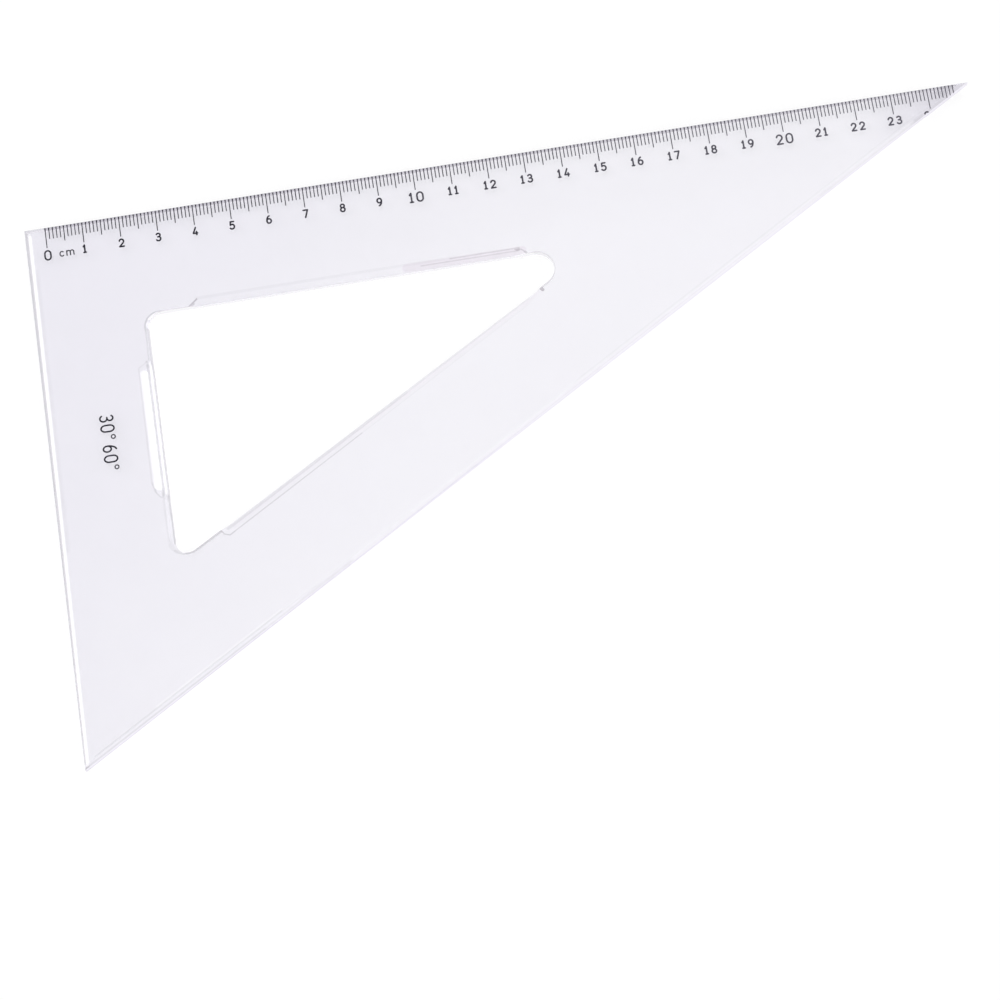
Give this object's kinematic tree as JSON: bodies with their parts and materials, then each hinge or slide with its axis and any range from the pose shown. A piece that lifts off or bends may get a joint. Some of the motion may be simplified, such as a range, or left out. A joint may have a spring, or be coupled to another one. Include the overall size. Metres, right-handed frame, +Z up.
{
  "type": "set square",
  "caption": "Clear plastic 30 and 60 degree set square with a triangular window, finger lifts and a centimetre scale printed along its long side",
  "frame": {"origin": "on the paper, under the middle of the plate's bounding box", "axes": "+X along the scale from 0 upwards, +Y towards the graduated edge, +Z up off the paper through the printed face"},
  "size_m": [0.257, 0.1484, 0.0022],
  "materials": {
    "clear_plastic": "clear, polished, with a faint lavender tint",
    "ink": "dark printed ink"
  },
  "bodies": {
    "root": {"angle_30_ring": "ink", "angle_30_tens": "ink", "angle_30_units": "ink", "angle_60_ring": "ink", "angle_60_tens": "ink", "angle_60_units": "ink", "numeral_0_units": "ink", "numeral_10_tens": "ink", "numeral_10_units": "ink", "numeral_11_tens": "ink", "numeral_11_units": "ink", "numeral_12_tens": "ink", "numeral_12_units": "ink", "numeral_13_tens": "ink", "numeral_13_units": "ink", "numeral_14_tens": "ink", "numeral_14_units": "ink", "numeral_15_tens": "ink", "numeral_15_units": "ink", "numeral_16_tens": "ink", "numeral_16_units": "ink", "numeral_17_tens": "ink", "numeral_17_units": "ink", "numeral_18_tens": "ink", "numeral_18_units": "ink", "numeral_19_tens": "ink", "numeral_19_units": "ink", "numeral_1_units": "ink", "numeral_20_tens": "ink", "numeral_20_units": "ink", "numeral_21_tens": "ink", "numeral_21_units": "ink", "numeral_22_tens": "ink", "numeral_22_units": "ink", "numeral_23_tens": "ink", "numeral_23_units": "ink", "numeral_2_units": "ink", "numeral_3_units": "ink", "numeral_4_units": "ink", "numeral_5_units": "ink", "numeral_6_units": "ink", "numeral_7_units": "ink", "numeral_8_units": "ink", "numeral_9_units": "ink", "plate": "clear_plastic", "scale_marks": "ink", "unit_letter_c": "ink", "unit_letter_m": "ink"}
  },
  "joints": []
}
